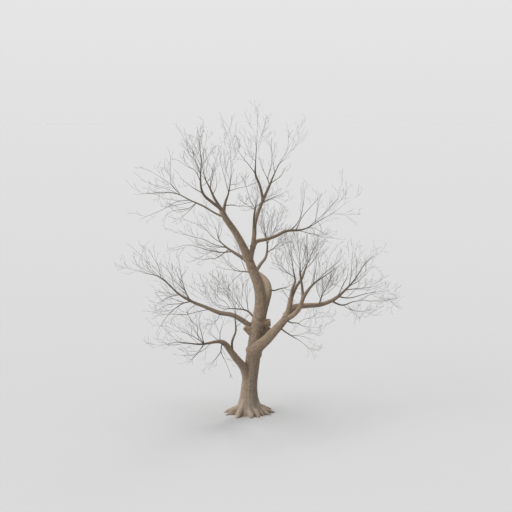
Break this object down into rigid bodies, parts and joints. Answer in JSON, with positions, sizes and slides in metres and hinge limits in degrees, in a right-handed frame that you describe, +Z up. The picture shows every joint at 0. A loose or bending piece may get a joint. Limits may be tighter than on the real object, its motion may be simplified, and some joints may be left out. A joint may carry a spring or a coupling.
{
  "type": "dead tree",
  "caption": "Bare dead broad-leaved tree, rooted, with a flared trunk, spreading boughs, sawn-off stubs and open twiggy crown.",
  "frame": {"origin": "middle of the flat cut under the trunk, at ground level", "axes": "+Z up the trunk, +X to the tree's right, +Y to its back"},
  "size_m": [11.1803, 9.3804, 11.8564],
  "materials": {
    "trunk_bark": "matt, furrowed grey-brown bark",
    "bough_bark": "matt, weathered grey-brown bark",
    "twig_wood": "matt, dull grey-brown dead twigs"
  },
  "bodies": {
    "root": {"back_bough": "bough_bark", "back_left_limb": "bough_bark", "back_left_limb_twigs": "twig_wood", "back_right_limb": "bough_bark", "back_right_limb_twigs": "twig_wood", "back_riser": "bough_bark", "back_riser_twigs": "twig_wood", "left_front_limb": "bough_bark", "left_front_limb_twigs": "twig_wood", "left_inner_limb": "bough_bark", "left_inner_limb_twigs": "twig_wood", "left_leader": "bough_bark", "left_middle_limb": "bough_bark", "left_middle_limb_twigs": "twig_wood", "left_reach_limb": "bough_bark", "left_reach_limb_twigs": "twig_wood", "low_left_bough": "bough_bark", "low_left_bough_twigs": "twig_wood", "low_left_riser": "bough_bark", "low_left_riser_twigs": "twig_wood", "mid_left_bough": "bough_bark", "mid_left_bough_twigs": "twig_wood", "mid_left_limb": "bough_bark", "mid_left_limb_twigs": "twig_wood", "mid_left_sprig": "bough_bark", "mid_left_sprig_twigs": "twig_wood", "right_bough": "bough_bark", "right_cross_riser": "bough_bark", "right_cross_riser_twigs": "twig_wood", "right_far_limb": "bough_bark", "right_far_limb_twigs": "twig_wood", "right_inner_riser": "bough_bark", "right_inner_riser_twigs": "twig_wood", "right_leader": "bough_bark", "right_leader_riser": "bough_bark", "right_leader_riser_twigs": "twig_wood", "right_leader_side": "bough_bark", "right_leader_side_twigs": "twig_wood", "right_leader_spur": "bough_bark", "right_leader_spur_twigs": "twig_wood", "right_leader_twigs": "twig_wood", "right_low_sprig": "bough_bark", "right_low_sprig_twigs": "twig_wood", "right_low_twig": "bough_bark", "right_low_twig_twigs": "twig_wood", "right_middle_bough": "bough_bark", "right_middle_bough_twigs": "twig_wood", "right_middle_riser": "bough_bark", "right_middle_riser_twigs": "twig_wood", "right_outer_bough": "bough_bark", "right_outer_bough_twigs": "twig_wood", "right_outer_riser": "bough_bark", "right_outer_riser_twigs": "twig_wood", "stub_back": "bough_bark", "stub_left": "bough_bark", "stub_right": "bough_bark", "trunk": "trunk_bark", "upper_right_bough": "bough_bark", "upper_right_bough_twigs": "twig_wood"}
  },
  "joints": []
}
